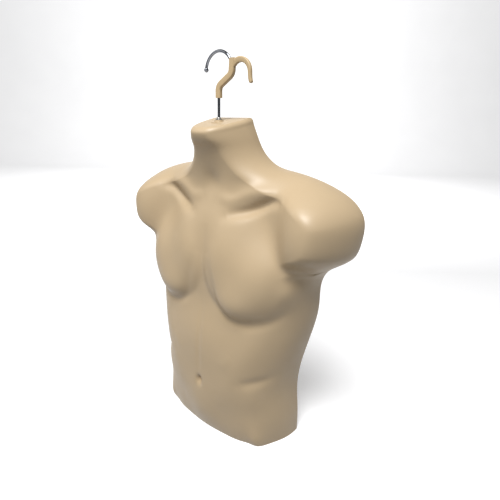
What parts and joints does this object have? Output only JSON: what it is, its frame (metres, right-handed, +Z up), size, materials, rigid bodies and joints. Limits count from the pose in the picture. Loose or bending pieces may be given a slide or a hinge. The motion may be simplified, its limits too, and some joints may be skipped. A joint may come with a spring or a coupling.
{
  "type": "torso display form",
  "caption": "Hollow-backed half torso form with neck and arm stubs, on a swivelling wire hanger hook with a moulded clip-on second hook.",
  "frame": {"origin": "middle of the footprint, on the surface the form stands on", "axes": "+Z up, the chest faces -Y, the form's left arm is on +X, the open back faces +Y"},
  "size_m": [0.4785, 0.1257, 0.6899],
  "materials": {
    "shell_plastic": "satin, flesh beige, smooth moulded",
    "clip_plastic": "satin, slightly darker beige",
    "hook_chrome": "bright chrome plate",
    "plated_fittings": "zinc or nickel plate"
  },
  "bodies": {
    "form": {"torso_shell": "shell_plastic", "neck_ferrule": "plated_fittings", "ferrule_washer": "plated_fittings", "ferrule_nut": "plated_fittings"},
    "hook": {"hook_wire": "hook_chrome", "hook_ball": "hook_chrome", "stop_washer": "plated_fittings", "stop_nut": "plated_fittings", "clip_hook": "clip_plastic"}
  },
  "joints": [
    {"name": "hook_swivel", "type": "hinge", "parent": "form", "child": "hook", "pos_m": [0, -0.0011, 0.58], "axis": [0, 0, 1], "continuous": true}
  ]
}
